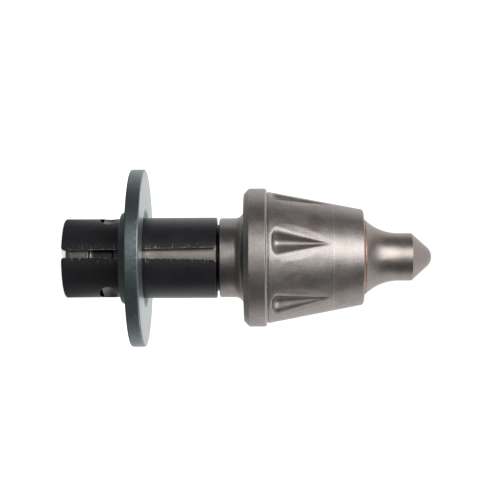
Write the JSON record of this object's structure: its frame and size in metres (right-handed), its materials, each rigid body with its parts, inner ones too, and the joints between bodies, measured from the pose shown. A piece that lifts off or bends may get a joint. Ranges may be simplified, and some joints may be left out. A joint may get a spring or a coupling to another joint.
{
  "type": "road milling pick",
  "caption": "Round-shank road milling pick: brazed carbide tip on a fluted conical steel body, slotted clamping sleeve around the shank, and a round wear plate on the sleeve.",
  "frame": {"origin": "centre of the clamping sleeve's rear end, at the bottom of the standing pick", "axes": "+Z along the pick's axis, from the sleeve's rear end to the carbide tip; the sleeve's slot faces nearly -Y"},
  "size_m": [0.0446, 0.0446, 0.0916],
  "materials": {
    "forged_steel": "forged and shot-blasted steel, turned at the neck",
    "carbide": "sintered tungsten carbide, satin",
    "braze": "copper-coloured braze",
    "black_spring_steel": "black oxide over rolled spring steel, worn bright along the slot",
    "hardened_plate": "dark blue-green phosphate over hardened steel, worn at the edges"
  },
  "bodies": {
    "sleeve": {"clamping_sleeve": "black_spring_steel"},
    "pick": {"pick_body": "forged_steel", "braze_seam": "braze", "carbide_tip": "carbide"},
    "plate": {"wear_plate": "hardened_plate"}
  },
  "joints": [
    {"name": "pick_spin", "type": "hinge", "parent": "sleeve", "child": "pick", "pos_m": [0, 0, 0], "axis": [0, 0, 1], "continuous": true},
    {"name": "plate_slide", "type": "slide", "parent": "sleeve", "child": "plate", "axis": [0, 0, 1], "range_m": [0, 0.0243]}
  ]
}
